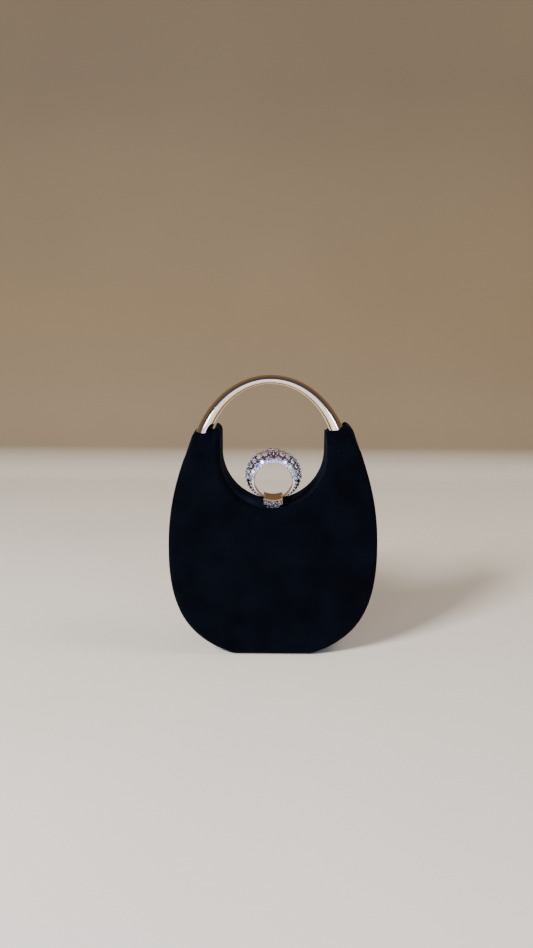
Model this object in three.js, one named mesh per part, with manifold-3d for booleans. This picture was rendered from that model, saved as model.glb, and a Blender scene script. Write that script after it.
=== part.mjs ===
// Hard-shell clutch purse with a fixed bow handle and a finger-ring clasp. Millimetres, +Z up.
// The front of the purse faces -Y. The origin is the middle of the flat that it stands on.
// Two rounded shells close on the plane y = 0. Each is a stack: velvet cover, moulded case, lining,
// with a metal rim frame along its mouth. A piano hinge under the base joins them.
import * as THREE from 'three';
import { mergeVertices } from 'three/addons/utils/BufferGeometryUtils.js';
import Module from 'manifold-3d';

const wasm = await Module();
wasm.setup();

// Silhouette, seen from the front
const BASE_HALF = 28;
const BELLY_HALF = 72.5;
const BELLY_Z = 74.7;
const BASE_ANGLE = 21.3;
const BASE_REACH = 32.3;
const BELLY_REACH_DOWN = 39.7;
const BASE_CORNER_R = 18;
const BELLY_REACH_UP = 35;
const SHOULDER_X = 57.1;
const SHOULDER_Z = 152.3;
const SHOULDER_ANGLE = 109.3;
const SHOULDER_REACH = 24.9;
const MOUTH_R = 35.9;
const MOUTH_Z = 143.1;
const MOUTH_STEPS = 7;
const BASE_STEPS = 7;
const SHOULDER_STEPS = 6;

// The two horns end differently: heights and radii of their outer and inner corners
const HORNS = {
  '-1': { outerZ: 156.7, outerR: 5.4, innerZ: 164.8, innerR: 5.4 },
  1: { outerZ: 163.3, outerR: 6, innerZ: 163, innerR: 5.4 },
};

// Depth of the closed purse and its wall, as distances in from the outer surface
const HALF_DEPTH = 19;
const EDGE_R = 5;
const PARTING = 0.15;
const GAP = 0.3;
const COVER = [0, 1];
const CASE = [1.3, 2.9];
const LINING = [3.2, 4];
const FRAME = [3.2, 4.4];
const FRAME_DEPTH = 6.3;
const SHARP_R = 0.8;

// Bow handle: half an ellipse, thick at the horns and slim at the top, a little left of the middle
const BOW_X = -2.1;
const BOW_A = 50.4;
const BOW_B = 61.1;
const BOW_Z = 133.1;
const BOW_TOP_R = 3.05;
const BOW_END_R = 4.9;
const BOW_HORN_Z = 159;
const BOW_END_Z = 142;
const BOW_CLEARANCE = 0.4;
const TAP_R = 1.8;
const TAP_DEPTH = 8;

// Brackets that hold the handle's ends to the back shell
const BRACKET_HALF = 2.7;
const BRACKET_THICK = 1.6;
const BRACKET_FRONT_Y = -3.8;
const FOOT_THICK = 1.5;
const FOOT_DROP = 11;
const BRACKET_SCREW_DROP = 7;
const LINING_FACE_Y = HALF_DEPTH - LINING[1];

// Hinge under the base
const HINGE_Z = 1.65;
const BARREL_R = 1.35;
const HINGE_PIN_R = 0.6;
const GROOVE_R = 2.05;
const GROOVE_HALF = 40;
const HINGE_HALF = 20;
const KNUCKLES = 5;
const LEAF_Z = [2.1, 2.9];
const LEAF_INNER_Y = 1.8;
const HINGE_SCREW_X = 12;
const HINGE_SCREW_Y = 4.1;

// Finger-ring clasp, a lever that turns on a pin behind the parting plane
const RING_Y = -8.5;
const RING_Z = 126.1;
const RING_R = 12.8;
const BAND = 1.1;
const CROWN = 7.4;
const BAND_DEPTH = 5.2;
const CROWN_DEPTH = 6.6;
const CROWN_END = 150;
const SADDLE_HALF = 6.5;
const SADDLE_Y = [-15.3, 2.6];
const SADDLE_Z = [111, 113.3];
const SADDLE_HOLLOW_R = 24;
const LIP_Z = 109.95;
const LIP_THICK = 1.4;
const PIVOT_Y = 5;
const PIVOT_Z = 111.2;
const KNUCKLE_R = 1.8;
const CLASP_PIN_R = 0.8;
const CATCH_HALF = 4.75;
const CATCH_Y = [-13.6, -9.4];
const CATCH_TOP = 109.6;
const EAR_X = [4.6, 6.6];
const PAD_Y = [1.6, 12.4];
const PAD_TOP = 108.7;
const SPRING_HALF = 1.9;
const EAR_HALF = 2.1;
const EAR_FLARE = 0.6;
const BURY = 0.5;
const CATCH_RIVET_X = 2.9;
const CATCH_RIVET_Y = -11.5;
const RIVET_SINK_R = 1.6;
const RIVET_SINK = 1.2;
const PAD_SCREW_X = 3.6;
const PAD_SCREW_Y = 10;

// Fasteners: shank radius and length, head radius and height
const HINGE_SCREW = { shankR: 0.8, length: FRAME[1] + GAP - LEAF_Z[0], headR: 1.5, headHeight: 0.9 };
const BOW_SCREW = { shankR: TAP_R - GAP, length: BRACKET_THICK + TAP_DEPTH - 0.6, headR: 2.7, headHeight: 1.6 };
const FOOT_SCREW = { shankR: 1, length: 3.6, headR: 1.9, headHeight: 1 };
const CATCH_RIVET = { shankR: 0.8, length: 3.6, headR: 1.3, headHeight: 0.7 };
const CLASP_SCREW = { shankR: 0.8, length: 4, headR: 1.5, headHeight: 0.9 };
const holeFor = (screw) => screw.shankR + GAP;
const THROUGH = 3;

const BELOW_MOUTH = MOUTH_Z - MOUTH_R;
const CASE_UNDER_MOUTH = BELOW_MOUTH - CASE[1];
const DEG = Math.PI / 180;

const FINISH = {
  velvet: { color: 0x070b14, roughness: 0.95, metalness: 0 },
  plastic: { color: 0x17181b, roughness: 0.6, metalness: 0 },
  satin: { color: 0x12131a, roughness: 0.5, metalness: 0 },
  gold: { color: 0xd9b492, roughness: 0.16, metalness: 1 },
  steel: { color: 0x9a9a9c, roughness: 0.35, metalness: 1 },
};

const purse = new THREE.Group();

function add(name, geometry, finish, parent = purse) {
  const mesh = new THREE.Mesh(geometry, new THREE.MeshStandardMaterial(FINISH[finish]));
  mesh.name = name;
  parent.add(mesh);
  return mesh;
}

// ---- solids -------------------------------------------------------------------------------------

function toSolid(geometry) {
  const bare = geometry.clone();
  bare.deleteAttribute('normal');
  bare.deleteAttribute('uv');
  const merged = mergeVertices(bare, 1e-4);
  const vertProperties = new Float32Array(merged.attributes.position.array);
  const triVerts = new Uint32Array(merged.index.array);
  return new wasm.Manifold(new wasm.Mesh({ numProp: 3, vertProperties, triVerts }));
}

function toGeometry(solid) {
  const mesh = solid.getMesh();
  const geometry = new THREE.BufferGeometry();
  geometry.setAttribute('position', new THREE.BufferAttribute(mesh.vertProperties, 3));
  geometry.setIndex(new THREE.BufferAttribute(mesh.triVerts, 1));
  return geometry;
}

function join(...geometries) {
  return toGeometry(geometries.map(toSolid).reduce((a, b) => a.add(b)));
}

function cut(geometry, ...tools) {
  return toGeometry(tools.map(toSolid).reduce((a, b) => a.subtract(b), toSolid(geometry)));
}

function box(x, y, z) {
  const solid = new THREE.BoxGeometry(x[1] - x[0], y[1] - y[0], z[1] - z[0]);
  return solid.translate((x[0] + x[1]) / 2, (y[0] + y[1]) / 2, (z[0] + z[1]) / 2);
}

function rodX(r, x, y, z, sides = 16) {
  const rod = new THREE.CylinderGeometry(r, r, x[1] - x[0], sides);
  return rod.rotateZ(Math.PI / 2).translate((x[0] + x[1]) / 2, y, z);
}

function rodZ(r, x, y, z, sides = 10) {
  const rod = new THREE.CylinderGeometry(r, r, z[1] - z[0], sides);
  return rod.rotateX(Math.PI / 2).translate(x, y, (z[0] + z[1]) / 2);
}

// A shape drawn in X and Z, given its thickness along Y
function slabY(shape, y, curveSegments = 8) {
  const slab = new THREE.ExtrudeGeometry(shape, { depth: y[1] - y[0], bevelEnabled: false, curveSegments });
  return slab.rotateX(Math.PI / 2).translate(0, y[1], 0);
}

// A shape drawn in Y and Z, given its thickness along X
function slabX(shape, x, curveSegments = 8) {
  const slab = new THREE.ExtrudeGeometry(shape, { depth: x[1] - x[0], bevelEnabled: false, curveSegments });
  return slab.rotateX(Math.PI / 2).rotateZ(Math.PI / 2).translate(x[0], 0, 0);
}

// Screw or rivet standing along +Z, its head at the top and the head's underside at the origin
function fastener({ shankR, length, headR, headHeight }, sides = 9) {
  const profile = [
    [0, -length],
    [shankR, -length],
    [shankR, 0],
    [headR, 0],
    [headR, headHeight * 0.6],
    [headR * 0.7, headHeight],
    [0, headHeight],
  ];
  return new THREE.LatheGeometry(profile.map(([r, z]) => new THREE.Vector2(r, z)), sides).rotateX(Math.PI / 2);
}

// Skin through rings of equal point count. Closed lofts join the last ring to the first;
// open ones are capped with the flat triangulation of their first ring.
function loft(rings, closed, capPlane) {
  const count = rings[0].length;
  const position = rings.flat().flatMap((p) => [p.x, p.y, p.z]);
  const index = [];
  const bands = closed ? rings.length : rings.length - 1;
  for (let k = 0; k < bands; k += 1) {
    const a = k * count;
    const b = ((k + 1) % rings.length) * count;
    for (let i = 0; i < count; i += 1) {
      const j = (i + 1) % count;
      index.push(a + i, a + j, b + j, a + i, b + j, b + i);
    }
  }
  if (!closed) {
    const last = (rings.length - 1) * count;
    const flat = rings[0].map(capPlane);
    for (const [i, j, k] of THREE.ShapeUtils.triangulateShape(flat, [])) {
      const turned = THREE.ShapeUtils.isClockWise(flat) ? [i, k, j] : [i, j, k];
      index.push(turned[2], turned[1], turned[0]);
      index.push(last + turned[0], last + turned[1], last + turned[2]);
    }
  }
  const geometry = new THREE.BufferGeometry();
  geometry.setAttribute('position', new THREE.Float32BufferAttribute(position, 3));
  geometry.setIndex(index);
  return outward(geometry);
}

function outward(geometry) {
  const p = geometry.attributes.position;
  const index = geometry.index.array;
  const [a, b, c] = [new THREE.Vector3(), new THREE.Vector3(), new THREE.Vector3()];
  let volume = 0;
  for (let i = 0; i < index.length; i += 3) {
    a.fromBufferAttribute(p, index[i]);
    b.fromBufferAttribute(p, index[i + 1]);
    c.fromBufferAttribute(p, index[i + 2]);
    volume += a.dot(b.cross(c));
  }
  if (volume < 0) {
    for (let i = 0; i < index.length; i += 3) {
      [index[i], index[i + 1]] = [index[i + 1], index[i]];
    }
  }
  return geometry;
}

// ---- the silhouette -----------------------------------------------------------------------------

function along(angle, length) {
  return new THREE.Vector2(Math.cos(angle * DEG) * length, Math.sin(angle * DEG) * length);
}

// Points of a corner of radius r between two straight runs that would meet at `corner`
function fillet(corner, into, outOf, r, steps) {
  const turn = outOf - into;
  const trim = r * Math.tan((turn * DEG) / 2);
  const start = corner.clone().sub(along(into, trim));
  const centre = start.clone().add(along(into + 90, r));
  const points = [];
  for (let k = 0; k <= steps; k += 1) {
    points.push(centre.clone().add(along(into - 90 + (turn * k) / steps, r)));
  }
  return points;
}

// The outline from the base to the middle of the mouth, as it would be on the right
function halfOutline({ outerZ, outerR, innerZ, innerR }) {
  const shoulderEnd = new THREE.Vector2(SHOULDER_X, SHOULDER_Z);
  const outerX = SHOULDER_X + (outerZ - SHOULDER_Z) / Math.tan(SHOULDER_ANGLE * DEG);
  const outer = new THREE.Vector2(outerX, outerZ);
  const inner = new THREE.Vector2(MOUTH_R, innerZ);
  const tip = inner.clone().sub(outer);
  const tipAngle = (Math.atan2(tip.y, tip.x) / DEG + 360) % 360;
  const belly = new THREE.Vector2(BELLY_HALF, BELLY_Z);
  const baseCorner = fillet(new THREE.Vector2(BASE_HALF, 0), 0, BASE_ANGLE, BASE_CORNER_R, 1);
  const rise = new THREE.CubicBezierCurve(
    baseCorner[1],
    baseCorner[1].clone().add(along(BASE_ANGLE, BASE_REACH)),
    belly.clone().add(along(270, BELLY_REACH_DOWN)),
    belly,
  );
  const shoulder = new THREE.CubicBezierCurve(
    belly,
    belly.clone().add(along(90, BELLY_REACH_UP)),
    shoulderEnd.clone().sub(along(SHOULDER_ANGLE, SHOULDER_REACH)),
    shoulderEnd,
  );
  const mouth = [];
  for (let k = 0; k <= MOUTH_STEPS; k += 1) {
    mouth.push(new THREE.Vector2(0, MOUTH_Z).add(along(-90 * (k / MOUTH_STEPS), MOUTH_R)));
  }
  return [
    baseCorner[0],
    ...rise.getPoints(BASE_STEPS),
    ...shoulder.getPoints(SHOULDER_STEPS).slice(1),
    ...fillet(outer, SHOULDER_ANGLE, tipAngle, outerR, 3),
    ...fillet(inner, tipAngle, 270, innerR, 5),
    ...mouth,
  ];
}

function silhouette() {
  const left = halfOutline(HORNS[-1]).slice(0, -1).map((p) => new THREE.Vector2(-p.x, p.y));
  return [...halfOutline(HORNS[1]), ...left.reverse()];
}

const OUTLINE = silhouette();

// The silhouette moved inward by d, point for point
function inset(d) {
  const count = OUTLINE.length;
  return OUTLINE.map((p, i) => {
    const before = OUTLINE[(i + count - 1) % count];
    const after = OUTLINE[(i + 1) % count];
    const n1 = p.clone().sub(before).normalize();
    const n2 = after.clone().sub(p).normalize();
    const tangent = n1.clone().add(n2).normalize();
    const scale = 1 / Math.max(0.5, tangent.dot(n1));
    return new THREE.Vector2(p.x - tangent.y * d * scale, p.y + tangent.x * d * scale);
  });
}

// ---- shells -------------------------------------------------------------------------------------

// Rings of the surface that lies `d` under the outside, from the mouth to the face
function surfaceRings(side, d, mouthY, arcs) {
  const r = Math.max(EDGE_R - d, SHARP_R);
  const turnY = HALF_DEPTH - d - r;
  const ring = (inward, y) => inset(inward).map((p) => new THREE.Vector3(p.x, side * y, p.y));
  const rings = [ring(d, mouthY)];
  for (let k = 0; k <= arcs; k += 1) {
    const a = (k / arcs) * 90;
    rings.push(ring(d + r * (1 - Math.cos(a * DEG)), turnY + r * Math.sin(a * DEG)));
  }
  return rings;
}

function shellLayer(side, [outer, inner], mouthY, arcs) {
  const outside = surfaceRings(side, outer, mouthY, arcs);
  const inside = surfaceRings(side, inner, mouthY, arcs);
  return loft([...outside.reverse(), ...inside], false, (p) => new THREE.Vector2(p.x, p.z));
}

function rimFrame(side) {
  const ring = (d, y) => inset(d).map((p) => new THREE.Vector3(p.x, side * y, p.y));
  const [outer, inner] = FRAME;
  return loft([ring(outer, GAP), ring(outer, FRAME_DEPTH), ring(inner, FRAME_DEPTH), ring(inner, GAP)], true);
}

// ---- bow handle ---------------------------------------------------------------------------------

function bowRadius(rise) {
  const hornRise = (BOW_HORN_Z - BOW_Z) / BOW_B;
  const share = Math.min(1, (1 - rise) / (1 - hornRise));
  return BOW_TOP_R + (BOW_END_R - BOW_TOP_R) * share;
}

function bow(extra, sides, steps) {
  const first = Math.asin((BOW_END_Z - extra - BOW_Z) / BOW_B);
  const rings = [];
  for (let k = 0; k <= steps; k += 1) {
    const t = first + ((Math.PI - 2 * first) * k) / steps;
    const centre = new THREE.Vector3(BOW_X + BOW_A * Math.cos(t), 0, BOW_Z + BOW_B * Math.sin(t));
    const out = new THREE.Vector3(BOW_B * Math.cos(t), 0, BOW_A * Math.sin(t)).normalize();
    const r = bowRadius(Math.sin(t)) + extra;
    const ring = [];
    for (let i = 0; i < sides; i += 1) {
      const a = (2 * Math.PI * i) / sides;
      ring.push(centre.clone().addScaledVector(out, r * Math.cos(a)).setY(r * Math.sin(a)));
    }
    rings.push(ring);
  }
  return loft(rings, false, (p) => new THREE.Vector2(p.x, p.y));
}

// Moves a piece made about the origin to the inner end of the bow, its +Z up the bow
function toBowEnd(geometry, side) {
  const t = Math.asin((BOW_END_Z - BOW_Z) / BOW_B);
  const lean = Math.atan2(BOW_A * Math.sin(t), BOW_B * Math.cos(t));
  geometry.rotateY(-lean * side);
  return geometry.translate(BOW_X + side * BOW_A * Math.cos(t), 0, BOW_END_Z);
}

// Hole for a bracket's screw, along Y through whatever stands at depth y
function footHole(y) {
  const hole = rodZ(holeFor(FOOT_SCREW), 0, 0, [-THROUGH, THROUGH]);
  return hole.rotateX(Math.PI / 2).translate(0, y, -BRACKET_SCREW_DROP);
}

function bowBracket(side) {
  const back = LINING_FACE_Y - GAP;
  const top = -GAP;
  const bottom = top - BRACKET_THICK;
  const x = [-BRACKET_HALF, BRACKET_HALF];
  const plate = box(x, [BRACKET_FRONT_Y, back], [bottom, top]);
  const foot = box(x, [back - FOOT_THICK, back], [-FOOT_DROP, top]);
  const screwHole = rodZ(TAP_R, 0, 0, [bottom - 1, top + 1]);
  return toBowEnd(cut(join(plate, foot), screwHole, footHole(back)), side);
}

// ---- hinge --------------------------------------------------------------------------------------

const KNUCKLE_PITCH = (2 * HINGE_HALF) / KNUCKLES;

function hingeLeaf(side) {
  const own = side < 0 ? 1 : 0;
  const edge = [side * LEAF_INNER_Y, side * FRAME_DEPTH].sort((a, b) => a - b);
  const pieces = [box([-HINGE_HALF, HINGE_HALF], edge, LEAF_Z)];
  for (let k = own; k < KNUCKLES; k += 2) {
    const x0 = -HINGE_HALF + k * KNUCKLE_PITCH;
    const x = [x0 + GAP / 2, x0 + KNUCKLE_PITCH - GAP / 2];
    pieces.push(rodX(BARREL_R, x, 0, HINGE_Z));
    pieces.push(box(x, [side * (LEAF_INNER_Y + BURY), 0].sort((a, b) => a - b), LEAF_Z));
  }
  const bore = rodX(HINGE_PIN_R + GAP, [-HINGE_HALF - 1, HINGE_HALF + 1], 0, HINGE_Z, 10);
  return cut(join(...pieces), bore, ...hingeScrewHoles(side));
}

function hingeScrewHoles(side) {
  const z = [LEAF_Z[0] - THROUGH, FRAME[1] + THROUGH];
  return [-1, 1].map((s) => rodZ(holeFor(HINGE_SCREW), s * HINGE_SCREW_X, side * HINGE_SCREW_Y, z));
}

// ---- finger-ring clasp --------------------------------------------------------------------------

// How much of the crown is left at an angle from the top of the ring, from 1 to 0
function crownShare(angle) {
  return angle < CROWN_END ? Math.cos((angle / CROWN_END) * 90 * DEG) : 0;
}

function fingerRing() {
  const steps = 34;
  const domePoints = 7;
  const rings = [];
  for (let k = 0; k < steps; k += 1) {
    const angle = (360 * k) / steps;
    const share = crownShare(angle > 180 ? 360 - angle : angle);
    const halfDepth = (BAND_DEPTH + CROWN_DEPTH * share) / 2;
    const section = [[RING_R, -halfDepth * 0.9], [RING_R, halfDepth * 0.9]];
    for (let i = 0; i < domePoints; i += 1) {
      const a = (180 * i) / (domePoints - 1);
      const height = BAND * 0.5 + (BAND * 0.5 + CROWN * share) * Math.sin(a * DEG);
      section.push([RING_R + height, halfDepth * Math.cos(a * DEG)]);
    }
    const out = new THREE.Vector3(Math.sin(angle * DEG), 0, Math.cos(angle * DEG));
    rings.push(section.map(([r, y]) => new THREE.Vector3(out.x * r, RING_Y + y, RING_Z + out.z * r)));
  }
  return loft(rings, true);
}

// Plate under the ring, hollowed along its length like the ring's own bore
function saddle() {
  const [bottom, top] = SADDLE_Z;
  const rise = SADDLE_HOLLOW_R - Math.sqrt(SADDLE_HOLLOW_R ** 2 - SADDLE_HALF ** 2);
  const half = Math.asin(SADDLE_HALF / SADDLE_HOLLOW_R);
  const shape = new THREE.Shape();
  shape.moveTo(-SADDLE_HALF, bottom);
  shape.lineTo(SADDLE_HALF, bottom);
  shape.lineTo(SADDLE_HALF, top + rise);
  shape.absarc(0, top + SADDLE_HOLLOW_R, SADDLE_HOLLOW_R, -Math.PI / 2 + half, -Math.PI / 2 - half, true);
  const lipY = [SADDLE_Y[0], SADDLE_Y[0] + LIP_THICK];
  const lip = box([-SADDLE_HALF, SADDLE_HALF], lipY, [LIP_Z, bottom + BURY]);
  return join(slabY(shape, SADDLE_Y), lip);
}

function claspLever() {
  const arms = [];
  for (const s of [-1, 1]) {
    const x = [s * SPRING_HALF, s * (EAR_X[0] - GAP)].sort((a, b) => a - b);
    arms.push(rodX(KNUCKLE_R, x, PIVOT_Y, PIVOT_Z));
    arms.push(box(x, [SADDLE_Y[1] - 1, PIVOT_Y], [SADDLE_Z[0], PIVOT_Z + KNUCKLE_R]));
  }
  return cut(join(fingerRing(), saddle(), ...arms), pivotBore());
}

function pivotBore() {
  return rodX(CLASP_PIN_R + GAP, [-EAR_X[1] - 1, EAR_X[1] + 1], PIVOT_Y, PIVOT_Z, 12);
}

// Block whose underside follows the round bottom of the mouth
function mouthPad(half, y, top) {
  const r = MOUTH_R - GAP;
  const a = Math.asin(half / r);
  const shape = new THREE.Shape();
  shape.moveTo(-half, top);
  shape.absarc(0, MOUTH_Z, r, -Math.PI / 2 - a, -Math.PI / 2 + a, false);
  shape.lineTo(half, top);
  return slabY(shape, y);
}

function catchPlate() {
  const block = mouthPad(CATCH_HALF, CATCH_Y, CATCH_TOP);
  const holes = [-1, 1].flatMap((s) => [
    rodZ(holeFor(CATCH_RIVET), s * CATCH_RIVET_X, CATCH_RIVET_Y, [BELOW_MOUTH - 1, CATCH_TOP + 1]),
    rodZ(RIVET_SINK_R, s * CATCH_RIVET_X, CATCH_RIVET_Y, [CATCH_TOP - RIVET_SINK, CATCH_TOP + 1]),
  ]);
  return cut(block, ...holes);
}

function claspBracket() {
  const ear = new THREE.Shape();
  ear.moveTo(PIVOT_Y - EAR_HALF - EAR_FLARE, PAD_TOP - BURY);
  ear.lineTo(PIVOT_Y + EAR_HALF + EAR_FLARE, PAD_TOP - BURY);
  ear.lineTo(PIVOT_Y + EAR_HALF, PIVOT_Z);
  ear.absarc(PIVOT_Y, PIVOT_Z, EAR_HALF, 0, Math.PI, false);
  const ears = [-1, 1].map((s) => slabX(ear, EAR_X.map((x) => x * s).sort((a, b) => a - b)));
  const z = [BELOW_MOUTH - 1, PAD_TOP + 1];
  const holes = [-1, 1].map((s) => rodZ(holeFor(CLASP_SCREW), s * PAD_SCREW_X, PAD_SCREW_Y, z));
  return cut(join(mouthPad(EAR_X[1], PAD_Y, PAD_TOP), ...ears), pivotBore(), ...holes);
}

// Torsion spring: three turns round the pin between the lever's two knuckles
function claspSpring() {
  const turns = 3;
  const pitch = 0.85;
  const wireR = 0.28;
  const coilR = 1.45;
  const sides = 5;
  const perTurn = 10;
  const rings = [];
  for (let k = 0; k <= turns * perTurn; k += 1) {
    const a = (2 * Math.PI * k) / perTurn;
    const out = new THREE.Vector3(0, Math.cos(a), Math.sin(a));
    const x = pitch * (k / perTurn - turns / 2);
    const ring = [];
    for (let i = 0; i < sides; i += 1) {
      const b = (2 * Math.PI * i) / sides;
      const p = out.clone().multiplyScalar(coilR + wireR * Math.cos(b));
      ring.push(new THREE.Vector3(x + wireR * Math.sin(b), PIVOT_Y + p.y, PIVOT_Z + p.z));
    }
    rings.push(ring);
  }
  return loft(rings, false, (p) => new THREE.Vector2(p.x, p.y));
}

// ---- assembly -----------------------------------------------------------------------------------

const NAMES = { '-1': 'front', 1: 'back' };
const handOf = (side) => (side < 0 ? 'left' : 'right');
const bowClearance = bow(BOW_CLEARANCE, 12, 20);
const groove = rodX(GROOVE_R, [-GROOVE_HALF, GROOVE_HALF], 0, HINGE_Z, 24);

for (const side of [-1, 1]) {
  const name = NAMES[side];
  const leafWindow = box(
    [-HINGE_HALF - GAP, HINGE_HALF + GAP],
    [side * (FRAME_DEPTH + GAP), -side].sort((a, b) => a - b),
    [COVER[1] + 0.1, LINING[0] - 0.05],
  );
  const screws = side < 0
    ? [[-CATCH_RIVET_X, CATCH_RIVET_Y], [CATCH_RIVET_X, CATCH_RIVET_Y]]
    : [[-PAD_SCREW_X, PAD_SCREW_Y], [PAD_SCREW_X, PAD_SCREW_Y]];
  const mouthZ = [CASE_UNDER_MOUTH - PARTING, BELOW_MOUTH + THROUGH];
  const mouthHoles = screws.map(([x, y]) => rodZ(holeFor(CLASP_SCREW), x, y, mouthZ));
  const footHoles = side < 0 ? [] : [-1, 1].map((s) => toBowEnd(footHole(LINING_FACE_Y), s));

  add(`${name}_cover`, cut(shellLayer(side, COVER, PARTING, 3), bowClearance, groove, ...mouthHoles), 'velvet');
  add(
    `${name}_case`,
    cut(shellLayer(side, CASE, PARTING, 2), bowClearance, groove, leafWindow, ...mouthHoles, ...footHoles),
    'plastic',
  );
  add(`${name}_lining`, cut(shellLayer(side, LINING, FRAME_DEPTH + GAP, 1), ...footHoles, bowClearance), 'satin');
  add(`${name}_frame`, cut(rimFrame(side), bowClearance, groove, ...hingeScrewHoles(side)), 'gold');
  add(`hinge_leaf_${name}`, hingeLeaf(side), 'steel');
  for (const s of [-1, 1]) {
    const screw = add(`hinge_screw_${name}_${handOf(s)}`, fastener(HINGE_SCREW), 'steel');
    screw.position.set(s * HINGE_SCREW_X, side * HINGE_SCREW_Y, FRAME[1] + GAP);
  }
}

add('hinge_pin', rodX(HINGE_PIN_R, [-HINGE_HALF, HINGE_HALF], 0, HINGE_Z, 12), 'steel');

const taps = [-1, 1].map((s) => toBowEnd(rodZ(TAP_R, 0, 0, [-1, TAP_DEPTH]), s));
add('handle', cut(bow(0, 12, 26), ...taps), 'gold');
for (const s of [-1, 1]) {
  const hand = handOf(s);
  add(`handle_bracket_${hand}`, bowBracket(s), 'steel');
  const screw = fastener(BOW_SCREW).rotateX(Math.PI).translate(0, 0, -BRACKET_THICK - 2 * GAP);
  add(`handle_screw_${hand}`, toBowEnd(screw, s), 'steel');
  const footScrew = fastener(FOOT_SCREW).rotateX(Math.PI / 2);
  footScrew.translate(0, LINING_FACE_Y - GAP - FOOT_THICK - GAP, -BRACKET_SCREW_DROP);
  add(`bracket_screw_${hand}`, toBowEnd(footScrew, s), 'steel');
}

add('ring_clasp', claspLever(), 'gold');
add('clasp_bracket', claspBracket(), 'gold');
const pinHalf = EAR_X[1] + BURY;
add('clasp_pin', rodX(CLASP_PIN_R, [-pinHalf, pinHalf], PIVOT_Y, PIVOT_Z, 14), 'steel');
add('clasp_spring', claspSpring(), 'steel');
add('catch_plate', catchPlate(), 'gold');
for (const s of [-1, 1]) {
  const rivet = add(`catch_rivet_${handOf(s)}`, fastener(CATCH_RIVET), 'steel');
  rivet.position.set(s * CATCH_RIVET_X, CATCH_RIVET_Y, CATCH_TOP - RIVET_SINK + GAP);
  const screw = add(`clasp_screw_${handOf(s)}`, fastener(CLASP_SCREW), 'steel');
  screw.position.set(s * PAD_SCREW_X, PAD_SCREW_Y, PAD_TOP + GAP);
}

export default purse;
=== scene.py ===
"""Velvet clutch purse with a bow handle and a finger-ring clasp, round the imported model.

Shapes are worked out in millimetres in the model's frame and scaled to metres when a mesh is made.
"""

import math

import bmesh
import bpy
import numpy as np
from mathutils import Matrix, Vector, noise
from mathutils.geometry import delaunay_2d_cdt


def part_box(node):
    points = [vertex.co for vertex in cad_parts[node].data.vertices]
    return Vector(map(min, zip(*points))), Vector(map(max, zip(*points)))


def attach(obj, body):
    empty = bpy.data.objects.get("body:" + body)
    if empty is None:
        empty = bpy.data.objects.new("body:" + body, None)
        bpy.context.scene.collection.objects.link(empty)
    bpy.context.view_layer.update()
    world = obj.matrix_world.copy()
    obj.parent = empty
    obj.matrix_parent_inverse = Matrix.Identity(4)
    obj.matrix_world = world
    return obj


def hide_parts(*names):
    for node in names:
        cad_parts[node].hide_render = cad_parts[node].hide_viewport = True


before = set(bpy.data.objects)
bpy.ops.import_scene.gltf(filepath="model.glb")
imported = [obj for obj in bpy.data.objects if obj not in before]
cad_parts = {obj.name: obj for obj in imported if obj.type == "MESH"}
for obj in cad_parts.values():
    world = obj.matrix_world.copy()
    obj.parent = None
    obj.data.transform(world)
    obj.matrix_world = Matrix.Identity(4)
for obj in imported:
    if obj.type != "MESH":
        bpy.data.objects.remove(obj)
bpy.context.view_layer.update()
MM = 0.001

# ---- driving dimensions, in millimetres, as in the CAD model ------------------------------------


def cad_box(node):
    low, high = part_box(node)
    return np.array(low) / MM, np.array(high) / MM


_, BACK_HIGH = cad_box("back_cover")
BELLY_HALF, HALF_DEPTH = BACK_HIGH[:2]
# Half outline: flat base, sweep to the belly, sweep to the shoulder
BASE_HALF, BELLY_Z = 28.0, 74.7
BASE_ANGLE, BASE_REACH, BASE_CORNER_R = 21.3, 32.3, 18.0
BELLY_REACH_DOWN, BELLY_REACH_UP = 39.7, 35.0
SHOULDER = (57.1, 152.3)
SHOULDER_ANGLE, SHOULDER_REACH = 109.3, 24.9
# Height and radius of each horn's outer corner, then of its inner one
HORNS = {-1: (157.5, 5.4, 164.8, 5.4), 1: (163.3, 6.0, 163.0, 5.4)}
MOUTH_R, MOUTH_Z = 35.9, 143.1

# Radius of the outer edge, and the least radius of a layer under it
EDGE_R, SHARP_R = 5.0, 0.8
# Half the gap between the shells, and between their rims, which nearly touch so that no light shows through
PARTING, RIM_GAP = 0.15, 0.04
# Each layer's outer and inner depth under the outside
COVER, CASE, LINING, FRAME = (0.0, 1.0), (1.3, 2.9), (3.2, 4.0), (3.2, 4.4)
FRAME_DEPTH, GAP = 6.3, 0.3
OUTLINE_SPACING = 1.0

# The bow's ellipse: middle, half width, half height, height of the middle
BOW_X, BOW_A, BOW_B, BOW_Z = -2.1, 50.4, 61.1, 133.1
# Radius at the top and at the horns; where it stops growing, and where its ends are inside the horns
BOW_TOP_R, BOW_END_R = 3.05, 4.9
BOW_HORN_Z, BOW_END_Z = 159.0, 142.0
BOW_CLEARANCE = 0.4

HINGE_Z, GROOVE_R, GROOVE_HALF, HINGE_HALF = 1.65, 2.05, 40.0, 20.0

# The ring's middle and inside radius; its plain band, and the crown that swells from it towards the top
RING_Y, RING_Z, RING_R = -8.5, 126.1, 12.8
BAND, CROWN, BAND_DEPTH, CROWN_DEPTH, CROWN_END = 1.1, 7.4, 5.2, 6.6, 150.0
SADDLE_HALF, SADDLE_Y, SADDLE_Z, SADDLE_HOLLOW_R = 6.5, (-15.3, 2.6), (111.0, 113.3), 17.0
SADDLE_COVER = 0.3
LIP_Z, LIP_THICK, LIP_CUT = 109.95, 1.4, 0.8
PIVOT_Y, PIVOT_Z, KNUCKLE_R = 5.0, 111.2, 1.8
ARM_INNER, EAR_INNER = 1.9, 4.6
CATCH_HALF, CATCH_Y, CATCH_TOP = 4.75, (-13.6, -9.4), 109.6

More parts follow.
